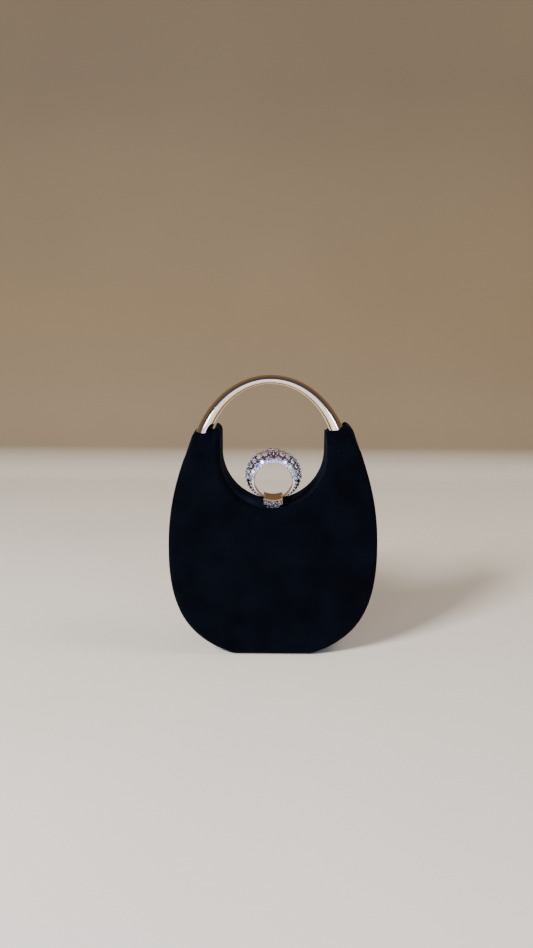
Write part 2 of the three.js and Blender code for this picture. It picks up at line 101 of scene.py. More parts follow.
# ---- mesh helpers -------------------------------------------------------------------------------

# Edges sharper than this, in degrees, stay sharp in shading
SMOOTH_ANGLE = 35.0


def make(name, verts, faces, material, slot, body, smooth_angle=SMOOTH_ANGLE):
    """A mesh object from points in millimetres, shaded smooth except past an angle.

    Without a material it's only a tool or the stage, and it rides on nothing.
    """
    mesh = bpy.data.meshes.new(name)
    mesh.from_pydata([tuple(float(c) * MM for c in v) for v in verts], [], faces)
    mesh.validate()
    obj = bpy.data.objects.new(name, mesh)
    bpy.context.scene.collection.objects.link(obj)
    bm = bmesh.new()
    bm.from_mesh(mesh)
    bmesh.ops.recalc_face_normals(bm, faces=bm.faces)
    bm.to_mesh(mesh)
    bm.free()
    finish_mesh(obj, smooth_angle)
    if material is not None:
        mesh.materials.append(material)
        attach(obj, body)
    return obj


def finish_mesh(obj, smooth_angle):
    obj.data.polygons.foreach_set("use_smooth", [True] * len(obj.data.polygons))
    obj.data.set_sharp_from_angle(angle=math.radians(smooth_angle))


def apply_modifiers(obj):
    graph = bpy.context.evaluated_depsgraph_get()
    graph.update()
    baked = bpy.data.meshes.new_from_object(obj.evaluated_get(graph))
    obj.modifiers.clear()
    old = obj.data
    obj.data = baked
    bpy.data.meshes.remove(old)


def cut_away(obj, tools, smooth_angle=SMOOTH_ANGLE):
    """Cuts an object with others, which are removed."""
    for tool in tools:
        modifier = obj.modifiers.new("cut", "BOOLEAN")
        modifier.operation = "DIFFERENCE"
        modifier.solver = "EXACT"
        modifier.object = tool
    apply_modifiers(obj)
    for tool in tools:
        bpy.data.objects.remove(tool)
    finish_mesh(obj, smooth_angle)


def tool(verts, faces):
    return make("tool", verts, faces, None, None, None)


def box_parts(x, y, z):
    verts = [(a, b, c) for a in x for b in y for c in z]
    faces = [(0, 1, 3, 2), (4, 6, 7, 5), (0, 4, 5, 1), (2, 3, 7, 6), (0, 2, 6, 4), (1, 5, 7, 3)]
    return verts, faces


def loft(rings, closed=False, capped=True):
    """Quads through rings of equal length; the ends get one flat face each."""
    count = len(rings[0])
    verts = [p for ring in rings for p in ring]
    faces = []
    bands = len(rings) if closed else len(rings) - 1
    for k in range(bands):
        a, b = k * count, ((k + 1) % len(rings)) * count
        faces += [(a + i, a + (i + 1) % count, b + (i + 1) % count, b + i) for i in range(count)]
    if capped and not closed:
        last = (len(rings) - 1) * count
        faces.append(tuple(range(count))[::-1])
        faces.append(tuple(range(last, last + count)))
    return verts, faces


def merge(*parts):
    verts, faces = [], []
    for v, f in parts:
        start = len(verts)
        verts += list(v)
        faces += [tuple(i + start for i in face) for face in f]
    return verts, faces


def rod_x(r, x, y, z, sides=48, chamfer=0.0):
    """A turned rod along X, its end edges broken by a small chamfer."""
    stations = [(x[0], r - chamfer), (x[0] + chamfer, r), (x[1] - chamfer, r), (x[1], r - chamfer)]
    if chamfer == 0:
        stations = [(x[0], r), (x[1], r)]
    angles = [2 * math.pi * i / sides for i in range(sides)]
    return loft([
        [(sx, y + sr * math.cos(a), z + sr * math.sin(a)) for a in angles] for sx, sr in stations])


def turned(profile, sides=40):
    """A lathed solid about Z from (radius, height) points; both ends are all but on the axis."""
    angles = [2 * math.pi * i / sides for i in range(sides)]
    return loft([[(r * math.cos(a), r * math.sin(a), z) for a in angles] for r, z in profile])


def placed(parts, matrix):
    verts, faces = parts
    return [tuple(matrix @ Vector(v)) for v in verts], faces


# ---- the silhouette -----------------------------------------------------------------------------


def along(angle, length):
    return np.array([math.cos(math.radians(angle)), math.sin(math.radians(angle))]) * length


def bezier(a, b, c, d, steps):
    t = np.linspace(0, 1, steps)[:, None]
    return (1 - t) ** 3 * a + 3 * (1 - t) ** 2 * t * b + 3 * (1 - t) * t * t * c + t**3 * d


def fillet(corner, into, out_of, r, steps):
    """Points round a corner that is reached in direction into and left in direction out_of, in degrees."""
    turn = out_of - into
    start = corner - along(into, r * math.tan(math.radians(turn / 2)))
    centre = start + along(into + 90, r)
    return np.array([centre + along(into - 90 + turn * k / steps, r) for k in range(steps + 1)])


def corner_x(outer_z):
    """How far out a horn's outer corner is, from its height."""
    return SHOULDER[0] + (outer_z - SHOULDER[1]) / math.tan(math.radians(SHOULDER_ANGLE))


def half_outline(outer_z, outer_r, inner_z, inner_r):
    """From the middle of the base to the middle of the mouth, as it would be on the right."""
    shoulder_end, belly = np.array(SHOULDER), np.array([BELLY_HALF, BELLY_Z])
    outer, inner = np.array([corner_x(outer_z), outer_z]), np.array([MOUTH_R, inner_z])
    tip = math.degrees(math.atan2(inner[1] - outer[1], inner[0] - outer[0])) % 360
    base = fillet(np.array([BASE_HALF, 0.0]), 0, BASE_ANGLE, BASE_CORNER_R, 8)
    swell = base[-1] + along(BASE_ANGLE, BASE_REACH)
    rise = bezier(base[-1], swell, belly - [0, BELLY_REACH_DOWN], belly, 80)
    reach = shoulder_end - along(SHOULDER_ANGLE, SHOULDER_REACH)
    shoulder = bezier(belly, belly + [0, BELLY_REACH_UP], reach, shoulder_end, 80)
    mouth = np.array([[0, MOUTH_Z] + along(-90 * k / 60, MOUTH_R) for k in range(61)])
    return np.concatenate([
        [[0.0, 0.0]], base, rise[1:], shoulder[1:], fillet(outer, SHOULDER_ANGLE, tip, outer_r, 16),
        fillet(inner, tip, 270, inner_r, 24), mouth])


def silhouette(spacing):
    """The closed outline of the shells as evenly spaced (x, z) points, anticlockwise from the front."""
    left = half_outline(*HORNS[-1]) * [-1, 1]
    loop = np.concatenate([half_outline(*HORNS[1]), left[::-1][1:]])
    run = np.concatenate([[0], np.cumsum(np.linalg.norm(np.diff(loop, axis=0), axis=1))])
    even = np.linspace(0, run[-1], round(run[-1] / spacing) + 1)[:-1]
    return np.stack([np.interp(even, run, loop[:, k]) for k in (0, 1)], 1)


def inset(outline, d):
    """The outline moved in by d, its corners mitred."""
    before, after = np.roll(outline, 1, 0), np.roll(outline, -1, 0)
    one = outline - before
    two = after - outline
    one /= np.linalg.norm(one, axis=1)[:, None]
    two /= np.linalg.norm(two, axis=1)[:, None]
    tangent = one + two
    tangent /= np.linalg.norm(tangent, axis=1)[:, None]
    scale = d / np.maximum(0.5, (tangent * one).sum(1))
    return outline + np.stack([-tangent[:, 1], tangent[:, 0]], 1) * scale[:, None]


OUTLINE = silhouette(OUTLINE_SPACING)

# ---- shells -------------------------------------------------------------------------------------


ROLL_STEPS = 4


def surface_rings(side, d, mouth_y, arcs, walls, mouth_roll):
    """Rings from the parting of a shell over its wall and round its edge, all d under the outside."""
    r = max(EDGE_R - d, SHARP_R)
    turn_y = HALF_DEPTH - d - r
    stations = []
    if mouth_roll:
        for k in range(ROLL_STEPS):
            a = math.radians(90 * k / ROLL_STEPS)
            stations.append((d + mouth_roll * (1 - math.sin(a)), mouth_y + mouth_roll * (1 - math.cos(a))))
    start = mouth_y + mouth_roll
    stations += [(d, start + (turn_y - start) * k / walls) for k in range(walls)]
    for k in range(arcs + 1):
        a = math.radians(90 * k / arcs)
        stations.append((d + r * (1 - math.cos(a)), turn_y + r * math.sin(a)))
    rings = []
    for inward, y in stations:
        flat = inset(OUTLINE, inward)
        rings.append(np.stack([flat[:, 0], np.full(len(flat), side * y), flat[:, 1]], 1))
    return rings


# How near the ring the fill's own points may come, in spacings, and how far in from it the crown has risen
FILL_MARGIN, CROWN_REACH = 0.7, 16


def face_fill(ring, start, spacing, crown):
    """Triangles that close a ring, with a grid of points inside it.

    Gives the new points, the faces, and what each of the faces' numbers stands for: a number in the mesh,
    where the ring begins at start, or ("new", a number among the new points).
    """
    flat = ring[:, [0, 2]]
    low, high = flat.min(0), flat.max(0)
    xs = np.arange(low[0] + spacing / 2, high[0], spacing)
    zs = np.arange(low[1] + spacing / 2, high[1], spacing)
    grid = np.array([(x, z) for z in zs for x in xs])
    grid = grid[inside_loop(grid, flat)]
    reach = np.array([np.min(np.hypot(*(flat - p).T)) for p in grid])
    clear = reach > spacing * FILL_MARGIN
    grid, reach = grid[clear], reach[clear]
    points = [Vector(p) for p in flat] + [Vector(p) for p in grid]
    edges = [(i, (i + 1) % len(flat)) for i in range(len(flat))]
    verts, _, faces, source, _, _ = delaunay_2d_cdt(points, edges, [], 1, 1e-6)
    origin = [s[0] for s in source]
    index = {i: (start + o if o < len(flat) else None) for i, o in enumerate(origin)}
    depth = ring[0][1]
    out = math.copysign(1, depth)
    new = []
    for i, o in enumerate(origin):
        if index[i] is None:
            swell = crown * (1 - math.exp(-((reach[o - len(flat)] / CROWN_REACH) ** 2)))
            index[i] = ("new", len(new))
            new.append((verts[i][0], depth + out * swell, verts[i][1]))
    return new, faces, index


def inside_loop(points, loop):
    """Which points lie inside a closed loop, by the crossing rule."""
    result = np.zeros(len(points), bool)
    a, b = loop, np.roll(loop, -1, 0)
    for (x0, y0), (x1, y1) in zip(a, b):
        crosses = (y0 > points[:, 1]) != (y1 > points[:, 1])
        if y0 != y1:
            x = x0 + (points[:, 1] - y0) * (x1 - x0) / (y1 - y0)
            result ^= crosses & (points[:, 0] < x)
    return result


def closed_shell(outside, inside, spacing, crown):
    """A layer of a shell as one closed skin: outer and inner rings, a strip at the parting, both faces."""
    rings = list(outside[::-1]) + list(inside)
    verts, faces = loft([[tuple(p) for p in ring] for ring in rings], capped=False)
    count = len(rings[0])
    for ring, start, swell in ((rings[0], 0, crown), (rings[-1], (len(rings) - 1) * count, 0.0)):
        new, fill, index = face_fill(ring, start, spacing, swell)
        base = len(verts)
        verts += new
        for face in fill:
            faces.append(tuple(base + index[i][1] if isinstance(index[i], tuple) else index[i] for i in face))
    return verts, faces


# Keeps the inner skin's first ring off the end of a rolled parting edge
ROLL_STEP_IN = 0.02


def shell_layer(side, layer, mouth_y, arcs=8, walls=6, roll=0.0, spacing=5.0, crown=0.0):
    outer, inner = layer
    inner_y = mouth_y + ROLL_STEP_IN if roll else mouth_y
    outside = surface_rings(side, outer, mouth_y, arcs, walls, roll)
    inside = surface_rings(side, inner, inner_y, max(3, arcs // 2), 3, 0.0)
    verts, faces = closed_shell(outside, inside, spacing, crown)
    return draw_in(verts), faces


def bow_parts(extra, sides, steps):
    """The bow as a loft, or the hole for it when extra is a clearance."""
    first = math.asin((BOW_END_Z - extra - BOW_Z) / BOW_B)
    horn = (BOW_HORN_Z - BOW_Z) / BOW_B
    rings = []
    for k in range(steps + 1):
        t = first + (math.pi - 2 * first) * k / steps
        rise = math.sin(t)
        centre = np.array([BOW_X + BOW_A * math.cos(t), 0, BOW_Z + BOW_B * rise])
        out = np.array([BOW_B * math.cos(t), 0, BOW_A * math.sin(t)])
        out /= np.linalg.norm(out)
        share = min(1.0, (1 - rise) / (1 - horn))
        r = BOW_TOP_R + (BOW_END_R - BOW_TOP_R) * share + extra
        angles = [2 * math.pi * i / sides for i in range(sides)]
        rings.append([
            tuple(centre + out * r * math.cos(a) + np.array([0, r * math.sin(a), 0])) for a in angles])
    return loft(rings)


# Where the velvet dips for each foot of the bow: middle, height and slope of the floor, inner and outer reach
DIP = {-1: (-47.2, 158.9, 0.0, 5.7, 7.5), 1: (42.6, 161.4, 0.25, 5.5, 7.3)}
# How far down the dip reaches; its fall over the foot's own depth; the horns' fall in front of that
DIP_REACH, DIP_FALL, DIP_TURN, FRONT_FALL = 17.0, 0.22, 5.0, 0.5


def draw_in(points):
    """Lowers the horns' tops round the bow's feet, so that the velvet dips towards the metal."""
    points = np.array(points, float)
    for side, (centre, height, slope, inner, outer) in DIP.items():
        outer_z, _, inner_z, _ = HORNS[side]
        across = np.clip((side * points[:, 0] - MOUTH_R) / (corner_x(outer_z) - MOUTH_R), 0, 1)
        top = inner_z + (outer_z - inner_z) * across
        away = np.abs(points[:, 0] - centre)
        share = np.clip((outer - away) / (outer - inner), 0, 1)
        share = share * share * (3 - 2 * share)
        floor = height + slope * (points[:, 0] - centre)
        floor = floor - DIP_FALL * np.minimum(np.abs(points[:, 1]), DIP_TURN)
        fall = FRONT_FALL * np.maximum(0, -points[:, 1] - DIP_TURN) * (side * points[:, 0] > 0)
        depth = np.clip((points[:, 2] - top + DIP_REACH) / DIP_REACH, 0, 1)
        points[:, 2] -= (np.maximum(0, top - floor) * share + fall) * depth
    return points


# ---- materials ----------------------------------------------------------------------------------


def shader(name, base, roughness, metallic=0.0, **sockets):
    """A Principled material: what it's made of, its node tree and its shader node."""
    material = bpy.data.materials.new(name)
    material.use_nodes = True
    tree = material.node_tree
    bsdf = tree.nodes["Principled BSDF"]
    bsdf.inputs["Base Color"].default_value = (*base, 1)
    bsdf.inputs["Roughness"].default_value = roughness
    bsdf.inputs["Metallic"].default_value = metallic
    for key, value in sockets.items():
        socket = bsdf.inputs[key.replace("_", " ")]
        socket.default_value = (*value, 1) if isinstance(value, tuple) and len(value) == 3 else value
    return material, tree, bsdf


def node(tree, kind, **values):
    made = tree.nodes.new(kind)
    for key, value in values.items():
        if key in made.inputs:
            made.inputs[key].default_value = value
        else:
            setattr(made, key, value)
    return made


def noise_of(tree, scale, detail=2.0, stretch=(1, 1, 1), roughness=0.5):
    """Object-space noise, its scale in cells per metre."""
    place = node(tree, "ShaderNodeTexCoord")
    mapping = node(tree, "ShaderNodeMapping")
    mapping.inputs["Scale"].default_value = stretch
    texture = node(tree, "ShaderNodeTexNoise", Scale=scale, Detail=detail, Roughness=roughness)
    tree.links.new(place.outputs["Object"], mapping.inputs["Vector"])
    tree.links.new(mapping.outputs["Vector"], texture.inputs["Vector"])
    return texture.outputs["Fac"]


def ramp(tree, value, stops):
    """A colour ramp from (position, colour) stops."""
    made = node(tree, "ShaderNodeValToRGB")
    elements = made.color_ramp.elements
    while len(elements) < len(stops):
        elements.new(0.5)
    for element, (position, colour) in zip(elements, stops):
        element.position = position
        element.color = (*colour, 1) if len(colour) == 3 else colour
    tree.links.new(value, made.inputs["Fac"])
    return made.outputs["Color"]


def spread(tree, value, low, high, out_low, out_high):
    """A value's range low to high, spread over another range."""
    made = node(tree, "ShaderNodeMapRange")
    made.inputs["From Min"].default_value = low
    made.inputs["From Max"].default_value = high
    made.inputs["To Min"].default_value = out_low
    made.inputs["To Max"].default_value = out_high
    tree.links.new(value, made.inputs["Value"])
    return made.outputs["Result"]


def layered(tree, blend, under, over):
    """Two colours laid over each other in full: ADD or MULTIPLY."""
    made = node(tree, "ShaderNodeMix", data_type="RGBA", blend_type=blend)
    made.inputs["Factor"].default_value = 1.0
    tree.links.new(under, made.inputs[6])
    tree.links.new(over, made.inputs[7])
    return made.outputs[2]


def bump(tree, bsdf, height, distance, strength=1.0):
    made = node(tree, "ShaderNodeBump", Strength=strength, Distance=distance)
    tree.links.new(height, made.inputs["Height"])
    tree.links.new(made.outputs["Normal"], bsdf.inputs["Normal"])


def velvet():
    """Navy-black pile with broad patches of painted sheen where the pile lies brushed, and a few specks of
    lint.
    """
    material, tree, bsdf = shader(
        "velvet", (0.0012, 0.0018, 0.0036), 0.95, Sheen_Weight=0.045, Sheen_Roughness=0.3,
        Sheen_Tint=(0.25, 0.45, 1.0), Specular_IOR_Level=0.05)
    painted_sheen_patches = noise_of(tree, 45, 3)
    lint = noise_of(tree, 620, 1)
    pile = noise_of(tree, 3800, 2)
    # Broad patches a little lighter and darker: painted sheen where the pile lies brushed
    colour = ramp(tree, painted_sheen_patches, [(0.3, (0.0008, 0.0012, 0.0024)), (0.7, (0.0018, 0.0028, 0.0058))])
    specks = ramp(tree, lint, [(0.765, (0, 0, 0)), (0.79, (0.012, 0.014, 0.018))])
    tree.links.new(layered(tree, "ADD", colour, specks), bsdf.inputs["Base Color"])
    bump(tree, bsdf, pile, 0.0002, 0.7)
    return material


def polished(name, base, roughness):
    """Bright metal with a little wear in its polish and its tone."""
    material, tree, bsdf = shader(name, base, roughness, 1.0)
    wear = noise_of(tree, 90, 4)
    tree.links.new(spread(tree, wear, 0.3, 0.7, roughness * 0.7, roughness * 1.5), bsdf.inputs["Roughness"])
    dark = tuple(c * 0.9 for c in base)
    tree.links.new(ramp(tree, noise_of(tree, 25, 2), [(0.35, dark), (0.65, base)]), bsdf.inputs["Base Color"])
    return material


def hammered(name, base, roughness, shade):
    """Cast metal with an uneven face that breaks up what it mirrors, and painted shade: random patches of its
    colour darkened by the shade factor.
    """
    material, tree, bsdf = shader(name, base, roughness, 1.0)
    dents = noise_of(tree, 750, 2)
    # Painted shade: patches from a noise of their own, not the dents', darkened by the shade factor
    dark = tuple(c * shade for c in base)
    colour = ramp(tree, noise_of(tree, 1100, 2), [(0.4, dark), (0.58, base)])
    tree.links.new(colour, bsdf.inputs["Base Color"])
    bump(tree, bsdf, dents, 0.003)
    return material


def brushed(name, base, roughness, stretch=(1, 12, 1)):
    """Metal with a fine grain, which runs across the stretched axis."""
    material, tree, bsdf = shader(name, base, roughness, 1.0)
    grain = noise_of(tree, 900, 3, stretch)
    tree.links.new(spread(tree, grain, 0.3, 0.7, roughness * 0.75, roughness * 1.3), bsdf.inputs["Roughness"])
    dark = tuple(c * 0.75 for c in base)
    tree.links.new(ramp(tree, grain, [(0.3, dark), (0.7, base)]), bsdf.inputs["Base Color"])
    bump(tree, bsdf, grain, 0.00004, 0.4)
    return material


def stone_material(name, painted_reflections):
    """Foil-backed cut stone with painted reflections: each facet is painted a tone, from a dark reflection to
    a white glint, by the way it faces and where it is.
    """
    material, tree, bsdf = shader(name, (0.8, 0.86, 1.0), 0.06, 0.75, Coat_Weight=1.0, Coat_Roughness=0.02)
    geometry = node(tree, "ShaderNodeNewGeometry")
    place = node(tree, "ShaderNodeTexCoord")
    # The facet's normal and place, snapped to coarse cells, pick its painted reflection
    add = node(tree, "ShaderNodeVectorMath", operation="MULTIPLY_ADD")
    add.inputs[1].default_value = (7.3, 7.3, 7.3)
    tree.links.new(geometry.outputs["True Normal"], add.inputs[0])
    tree.links.new(place.outputs["Object"], add.inputs[2])
    white = node(tree, "ShaderNodeTexWhiteNoise", noise_dimensions="3D")
    snap = node(tree, "ShaderNodeVectorMath", operation="SNAP")
    snap.inputs[1].default_value = (0.35, 0.35, 0.35)
    tree.links.new(add.outputs["Vector"], snap.inputs[0])
    tree.links.new(snap.outputs["Vector"], white.inputs["Vector"])
    colour = ramp(tree, white.outputs["Value"], painted_reflections)
    tree.links.new(colour, bsdf.inputs["Base Color"])
    return material


def plastic():
    material, tree, bsdf = shader("moulded_plastic", (0.02, 0.02, 0.023), 0.55)
    grain = noise_of(tree, 2500, 2)
    tree.links.new(spread(tree, grain, 0.3, 0.7, 0.48, 0.62), bsdf.inputs["Roughness"])
    bump(tree, bsdf, grain, 0.00003, 0.5)
    return material


def satin():
    material, tree, bsdf = shader(
        "satin_lining", (0.011, 0.012, 0.018), 0.34, Sheen_Weight=0.15, Specular_IOR_Level=0.4)
    weave = node(tree, "ShaderNodeTexWave", Scale=1500.0, Distortion=0.6, Detail=1.0)
    place = node(tree, "ShaderNodeTexCoord")
    tree.links.new(place.outputs["Object"], weave.inputs["Vector"])
    tree.links.new(
        ramp(tree, noise_of(tree, 40, 2), [(0.3, (0.008, 0.009, 0.014)), (0.7, (0.016, 0.017, 0.026))]),
        bsdf.inputs["Base Color"])
    bump(tree, bsdf, weave.outputs["Fac"], 0.00003, 0.5)
    return material


VELVET = velvet()
BOW_GOLD = polished("champagne_polish", (0.98, 0.79, 0.59), 0.045)
FRAME_GOLD = polished("rim_gold", (0.83, 0.62, 0.4), 0.16)
BAND_GOLD = polished("band_gold", (0.93, 0.76, 0.56), 0.12)
CROWN_METAL = polished("crown_metal", (0.9, 0.74, 0.72), 0.14)
# A dark copy of the crown's metal, for painted shade on the crown's flanks
SHADED_CROWN_METAL = polished("crown_metal_painted_shade", (0.16, 0.11, 0.09), 0.2)
CLAW_METAL = polished("claw_metal", (0.98, 0.84, 0.88), 0.1)
SADDLE_GOLD = brushed("saddle_gold", (0.66, 0.46, 0.25), 0.42)
# The lip's and the catch's dark patches are painted shade
LIP_SILVER = hammered("lip_silver", (0.8, 0.76, 0.72), 0.16, 0.3)
CATCH_METAL = hammered("catch_metal", (0.86, 0.87, 0.9), 0.12, 0.08)
STEEL = brushed("hinge_steel", (0.5, 0.5, 0.51), 0.3, (12, 1, 1))
# Ramps of painted reflections for the stones, from dark facets to white glints
CRYSTAL = stone_material("crystal", [
    (0.0, (0.02, 0.04, 0.12)), (0.15, (0.2, 0.36, 0.7)), (0.3, (0.6, 0.88, 1.0)),
    (0.65, (0.95, 1.0, 1.0)), (0.88, (1.0, 0.84, 0.95)), (1.0, (1.0, 1.0, 1.0))])
CRYSTAL_TABLE = stone_material("crystal_table", [
    (0.0, (0.02, 0.04, 0.1)), (0.4, (0.1, 0.2, 0.48)), (0.7, (0.24, 0.5, 0.85)), (0.85, (0.8, 0.97, 1.0)),
    (1.0, (1.0, 1.0, 1.0))])
PLASTIC = plastic()
SATIN = satin()

# ---- the shells ---------------------------------------------------------------------------------

SIDES = {-1: ("front", "front_shell"), 1: ("back", "back_shell")}
COVER_SMOOTH_ANGLE = 50


def bow_hole():
    return tool(*bow_parts(BOW_CLEARANCE, 40, 60))


def groove_hole():
    return tool(*rod_x(GROOVE_R, (-GROOVE_HALF, GROOVE_HALF), 0, HINGE_Z))


def build_shells():
    for side, (name, body) in SIDES.items():
        skin = shell_layer(side, COVER, PARTING, arcs=10, walls=14, roll=0.5, spacing=3.0, crown=0.5)
        cover = make(f"velvet_{name}", *skin, VELVET, "velvet", body, COVER_SMOOTH_ANGLE)
        cut_away(cover, [bow_hole(), groove_hole()], COVER_SMOOTH_ANGLE)
        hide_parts(f"{name}_cover")

        case = make(f"case_{name}", *shell_layer(side, CASE, PARTING), PLASTIC, "case_plastic", body)
        # The hinge's leaf lies in a window in the case's floor
        window = tool(*box_parts(
            (-HINGE_HALF - GAP, HINGE_HALF + GAP), sorted((side * (FRAME_DEPTH + GAP), -side)),
            (COVER[1] + 0.1, LINING[0] - 0.05)))
        cut_away(case, [bow_hole(), groove_hole(), window])
        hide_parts(f"{name}_case")

        sheet = shell_layer(side, LINING, FRAME_DEPTH + GAP, arcs=6, walls=5, spacing=4.0)
        lining = make(f"lining_{name}", *sheet, SATIN, "lining_satin", body)
        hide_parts(f"{name}_lining")

        corners = [
            (FRAME[0], RIM_GAP), (FRAME[0], FRAME_DEPTH), (FRAME[1], FRAME_DEPTH), (FRAME[1], RIM_GAP)]
        rings = []
        for inward, y in corners:
            flat = inset(OUTLINE, inward)
            rings.append([(x, side * y, z) for x, z in flat])
        verts, faces = loft(rings, closed=True)
        rim = make(f"rim_{name}", draw_in(verts), faces, FRAME_GOLD, "champagne_metal", body)
        cut_away(rim, [bow_hole(), groove_hole()])
        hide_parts(f"{name}_frame")


def build_bow():
    handle = make("bow_handle", *bow_parts(0, 56, 160), BOW_GOLD, "champagne_metal", "back_shell")
    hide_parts("handle")


# ---- the clasp ----------------------------------------------------------------------------------

# The ring's mesh: steps round it, and over its crown
RING_STEPS, CROWN_STEPS = 180, 20
# The finger hole: its share of the ring's depth, how far it opens at its edges, and the skin round it that
# shows the band's gold
BORE_SHARE, BORE_EASE, BORE_SKIN = 0.9, 0.12, 0.45
# The crown's metal is painted dark, as shade, above a share of its height that falls with the angle from the
# top
SHADE_ANGLES, SHADE_SHARES = (0, 28, 36, 78, 90), (1.2, 1.2, 0.72, 0.55, 0.4)


def crown_share(angle):
    """How far the crown has swollen at an angle from the top of the ring, 0 to 1."""
    angle = abs((angle + 180) % 360 - 180)
    return math.cos(math.radians(angle / CROWN_END * 90)) if angle < CROWN_END else 0.0


def crown_point(angle, lift, extra=0.0):
    """A point on the crown's surface and its outward normal; lift runs 0 front, 90 crest, 180 back."""

    def at(a, b):
        share = crown_share(a)
        half = (BAND_DEPTH + CROWN_DEPTH * share) / 2
        r = RING_R + BAND * 0.5 + (BAND * 0.5 + CROWN * share) * math.sin(math.radians(b))
        y = -half * math.cos(math.radians(b))
        s, c = math.sin(math.radians(a)), math.cos(math.radians(a))
        return Vector((s * r, RING_Y + y, RING_Z + c * r))

    # The normal is square to short chords along and across the crown, and points away from the ring
    p = at(angle, lift)
    across = at(angle, lift + 0.5) - at(angle, lift - 0.5)
    round_ = at(angle + 0.5, lift) - at(angle - 0.5, lift)
    normal = round_.cross(across).normalized()
    out = Vector((math.sin(math.radians(angle)), 0, math.cos(math.radians(angle))))
    out = out * math.sin(math.radians(lift)) + Vector((0, -math.cos(math.radians(lift)), 0))
    if normal.dot(out) < 0:
        normal.negate()
    return p + normal * extra, normal


def build_ring():
    """The band and its crown: gold round the finger hole, rosy in front, and a dark copy of the metal on the
    crown's flanks as painted shade.
    """
    rings = []
    for k in range(RING_STEPS):
        angle = 360 * k / RING_STEPS
        share = crown_share(angle)
        half = (BAND_DEPTH + CROWN_DEPTH * share) / 2
        section = []
        for i in range(7):
            section.append((RING_R + BORE_EASE * (abs(i - 3) / 3) ** 6, (BORE_SHARE * half) * (1 - i / 3)))
        for i in range(CROWN_STEPS + 1):
            a = math.radians(180 * i / CROWN_STEPS)
            height = BAND * 0.5 + (BAND * 0.5 + CROWN * share) * math.sin(a)
            section.append((RING_R + height, -half * math.cos(a)))
        s, c = math.sin(math.radians(angle)), math.cos(math.radians(angle))
        rings.append([(s * r, RING_Y + y, RING_Z + c * r) for r, y in section])
    ring = make("ring_crown", *loft(rings, closed=True), CROWN_METAL, "jewel_metal", "clasp")
    ring.data.materials.append(BAND_GOLD)
    ring.data.materials.append(SHADED_CROWN_METAL)
    for polygon in ring.data.polygons:
        x, _, z = polygon.center / MM
        out = math.hypot(x, z - RING_Z)
        angle = math.degrees(math.atan2(abs(x), z - RING_Z))
        height = (out - RING_R) / (BAND + CROWN * crown_share(angle))
        # Painted shade: faces high on the crown's flanks take the dark copy of the metal
        dark = height > np.interp(angle, SHADE_ANGLES, SHADE_SHARES)
        polygon.material_index = 1 if out < RING_R + BORE_SKIN else 2 * int(dark)
    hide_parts("ring_clasp")


# A cut stone's levels, in stone radii: radius, height and turn, from the table to the girdle's lower edge
GEM_LEVELS = [(0.52, 0.42, 0.0), (0.8, 0.27, 0.5), (1.0, 0.06, 0.0), (1.0, -0.06, 0.0)]
GEM_SIDES, GEM_POINT = 8, 0.7


def gem(radius):
    """A round cut stone about Z, its girdle at height 0, its table the first face: (points, faces)."""
    sides = GEM_SIDES
    verts, faces = [], []
    for r, h, shift in GEM_LEVELS:
        for i in range(sides):
            a = 2 * math.pi * (i + shift) / sides
            verts.append((radius * r * math.cos(a), radius * r * math.sin(a), radius * h))
    verts.append((0, 0, -radius * GEM_POINT))
    faces.append(tuple(range(sides)))
    for i in range(sides):
        j = (i + 1) % sides
        t0, t1, m0, m1 = i, j, sides + i, sides + (i - 1) % sides
        g0, g1 = 2 * sides + i, 2 * sides + j
        faces.append((t0, m0, t1))
        faces.append((m0, g0, g1))
        faces.append((t0, m1, g0, m0))
        faces.append((g0, 3 * sides + i, 3 * sides + j, g1))
        faces.append((3 * sides + i, 4 * sides, 3 * sides + j))
    return verts, faces


# Rows of stones: lift on the crown, angles each side of the top, stone radius
ROWS = [
    (17, (12, 29, 46, 63, 80), 1.95),
    (53, (17.5, 30.5, 43, 55.5, 68, 80), 1.56),
    (80, (5.2,), 1.5),
    (90, (34, 46, 58, 70, 82), 1.4),
    (112, (7,), 1.4),
    (127, (19, 31.5, 44, 56.5, 69, 81), 1.5),
    (163, (12, 29, 46, 63, 80), 1.95),
]
# Loose beads of the claws' metal that fill the crown's middle: lift, angle, radius
BEADS = [
    (46, 0, 0.62), (52, 7.5, 0.6), (36, 5.5, 0.5), (60, 0, 0.5),
    (134, 0, 0.62), (128, 7.5, 0.6), (120, 0, 0.5)]
# Small stones that run down the ring's sides below the rows: lifts, first angle, spacing, count
TAPER_LIFTS, TAPER_FIRST, TAPER_STEP, TAPER_COUNT = (30, 90, 150), 93.0, 8.5, 6

# How far a stone's girdle stands off the crown, and how far each stone is turned against the last, in degrees
GIRDLE_LIFT, STONE_TURN = 0.3, 37
# Claws: how many a stone has, their place and size in stone radii, the least distance between two, how far
# they stand out
CLAWS, CLAW_REACH, CLAW_SIZE, CLAW_APART, CLAW_LIFT = 6, 1.1, 0.22, 0.45, 0.1
# Radius and height, in the claw's own radii
BEAD_PROFILE = [(0.0001, -0.6), (0.75, -0.5), (1.0, 0.0), (0.85, 0.55), (0.5, 0.88), (0.0001, 1.0)]
BEAD_STRETCH = 1.3


def set_stone(number, angle, lift, radius):
    """Sets one cut stone on the crown and gives its claws as (place, normal, radius)."""
    p, n = crown_point(angle, lift, GIRDLE_LIFT)
    turn = n.to_track_quat("Z", "Y").to_matrix().to_4x4()
    spin = Matrix.Rotation(math.radians(STONE_TURN * number), 4, "Z")
    stone = make(
        f"stone_{number:02d}", *placed(gem(radius), Matrix.Translation(p) @ turn @ spin),
        CRYSTAL, "jewel_metal", "clasp", 1)
    stone.data.materials.append(CRYSTAL_TABLE)
    stone.data.polygons[0].material_index = 1
    claws = []
    for j in range(CLAWS):
        a = math.radians(30 + 60 * j)
        place = p + turn @ Vector((math.cos(a), math.sin(a), 0)) * radius * CLAW_REACH
        claws.append((place, n, radius * CLAW_SIZE))
    return claws


